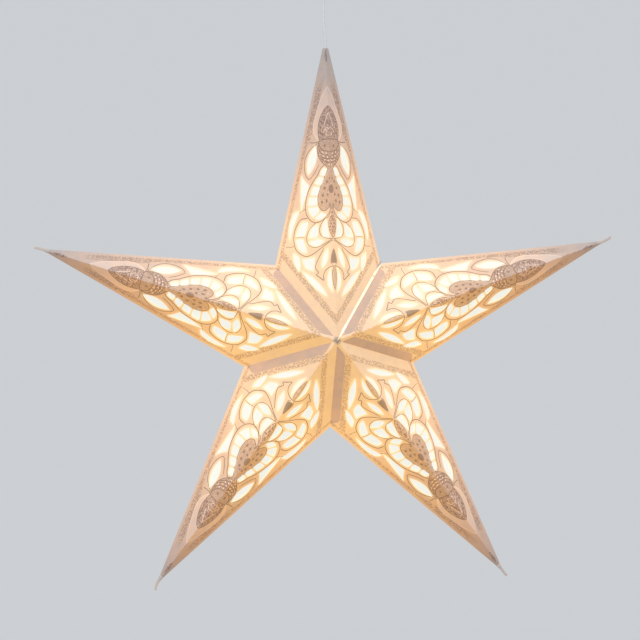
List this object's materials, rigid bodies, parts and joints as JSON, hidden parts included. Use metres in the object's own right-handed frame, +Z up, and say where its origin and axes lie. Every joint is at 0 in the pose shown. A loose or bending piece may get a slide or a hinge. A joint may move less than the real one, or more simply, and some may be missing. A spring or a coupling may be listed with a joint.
{
  "type": "paper star lantern",
  "caption": "Folded paper star with cut-out ornament, lit from inside, hung on a thin cord with its lampholder, bulb and ceiling rose.",
  "frame": {"origin": "middle of the ceiling rose's strap, on the face that lies against the ceiling", "axes": "+Z up, the front of the star faces -Y, +X to the right seen from the front"},
  "size_m": [0.6018, 0.1261, 0.6739],
  "materials": {
    "card": "matte printed card, lit from inside",
    "lining": "thin translucent paper, lit from inside",
    "cotton": "twisted cotton",
    "cord": "white flexible lead",
    "white_plastic": "satin moulded",
    "porcelain": "unglazed",
    "steel": "zinc plated",
    "brass": "drawn",
    "opal_glass": "opal, lit"
  },
  "bodies": {
    "root": {"arm_top": "card", "arm_right": "card", "arm_lower_right": "card", "arm_lower_left": "card", "arm_left": "card", "lining_top": "lining", "lining_right": "lining", "lining_lower_right": "lining", "lining_lower_left": "lining", "lining_left": "lining", "seam_tie_outer": "cotton", "seam_tie_middle": "cotton", "seam_tie_inner": "cotton", "cord_stop": "white_plastic", "stop_screw": "steel", "cord": "cord", "lampholder_cap": "white_plastic", "lampholder_body": "white_plastic", "lampholder_insert": "porcelain", "terminal_screws": "steel", "screw_shell": "brass", "centre_contact": "brass", "bulb": "opal_glass", "rose_cup": "white_plastic", "rose_strap": "steel", "rose_side_screws": "steel", "cord_grip": "white_plastic", "grip_nut": "white_plastic", "terminal_block": "white_plastic"}
  },
  "joints": []
}
